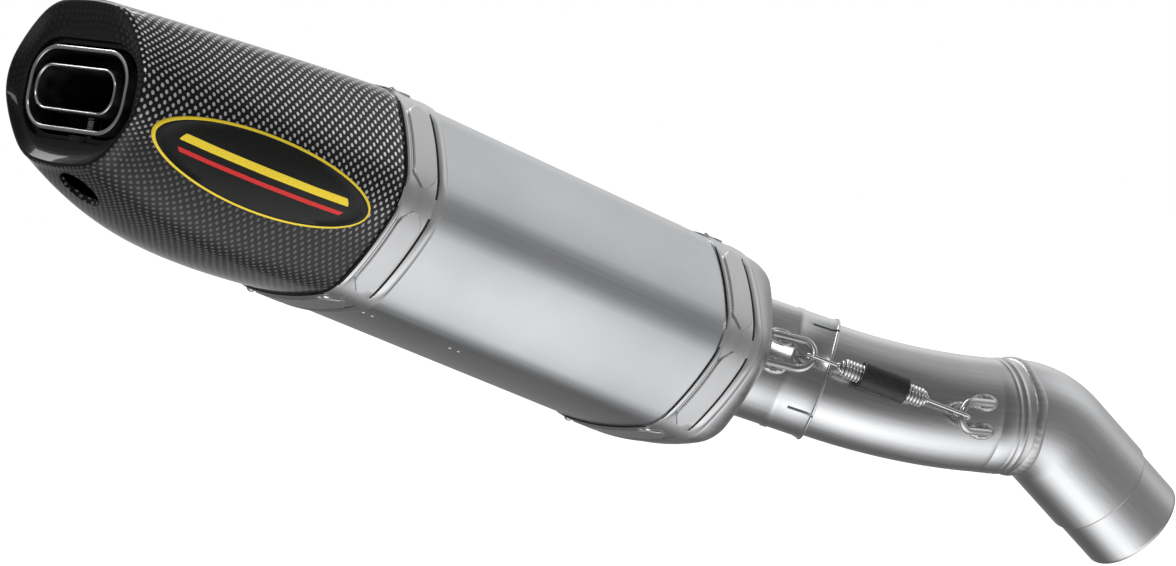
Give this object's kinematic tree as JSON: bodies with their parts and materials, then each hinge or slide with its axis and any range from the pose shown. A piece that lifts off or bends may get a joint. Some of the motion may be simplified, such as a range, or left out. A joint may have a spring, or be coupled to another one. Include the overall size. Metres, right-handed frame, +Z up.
{
  "type": "racing exhaust system",
  "caption": "Slip-on racing exhaust: hexagonal titanium muffler with carbon end cap and removable noise insert, sprung slip joint, bent link pipe and header socket.",
  "frame": {"origin": "centre of the open end of the header socket, where the engine's header pipe enters", "axes": "+X forward towards the engine, +Y to the left of the vehicle, +Z up; the muffler trails rearwards and upwards along -X"},
  "size_m": [0.6293, 0.1718, 0.2944],
  "materials": {
    "titanium": "finely brushed titanium",
    "band_titanium": "satin titanium strip with pressed panels",
    "carbon": "twill carbon fibre under clear gloss",
    "stainless": "bright stainless steel",
    "rivet_steel": "polished steel",
    "spring_steel": "polished spring steel wire",
    "weld": "rippled weld with slight heat tint",
    "steel_wool": "matted wire wool",
    "glass_wool": "packed glass fibre",
    "badge_enamel": "glossy enamel, yellow rim on black",
    "black_rubber": "matt moulded rubber"
  },
  "bodies": {
    "link": {"link_bend": "titanium", "link_elbow": "titanium", "weld_bead": "weld", "socket_weld": "weld", "header_socket": "titanium", "link_spring_hooks": "stainless", "spring_near": "spring_steel", "spring_far": "spring_steel", "damper_near": "black_rubber", "damper_far": "black_rubber"},
    "muffler": {"sleeve": "titanium", "end_cap": "carbon", "inlet_cap": "titanium", "inlet_tube": "titanium", "outlet_band": "band_titanium", "inlet_band": "band_titanium", "band_rivets": "rivet_steel", "sleeve_rivets": "rivet_steel", "outlet_tube": "stainless", "outlet_cone": "stainless", "outlet_end_plate": "stainless", "inlet_baffle": "stainless", "core_tube": "stainless", "steel_wool_wrap": "steel_wool", "glass_packing": "glass_wool", "badge_plate": "badge_enamel", "muffler_spring_hooks": "stainless", "screw_boss": "stainless"},
    "insert": {"noise_insert": "stainless", "insert_locating_ring": "stainless"},
    "washer": {"screw_washer": "rivet_steel"},
    "screw": {"insert_screw": "rivet_steel"}
  },
  "joints": [
    {"name": "slip_slide", "type": "slide", "parent": "link", "child": "muffler", "axis": [-0.7657, 0.5569, 0.3219], "range_m": [0, 0.01], "stiffness_N_per_m": 13000, "springref_m": -0.005, "deforming": ["spring_near", "spring_far", "damper_near", "damper_far"]},
    {"name": "insert_slide", "type": "slide", "parent": "muffler", "child": "insert", "axis": [-0.9569, -0.2053, 0.2052], "range_m": [0, 0.07]},
    {"name": "washer_slide", "type": "slide", "parent": "muffler", "child": "washer", "axis": [-0.2162, 0.0325, -0.9758], "range_m": [0, 0.012]},
    {"name": "screw_turn", "type": "hinge", "parent": "washer", "child": "screw", "pos_m": [-0.59037, 0.07148, 0.20199], "axis": [-0.2162, 0.0325, -0.9758], "range_deg": [0, 4320]}
  ],
  "couplings": [
    {"joint": "screw_turn", "follows": "washer_slide", "rad_per_m": 6283.2}
  ]
}
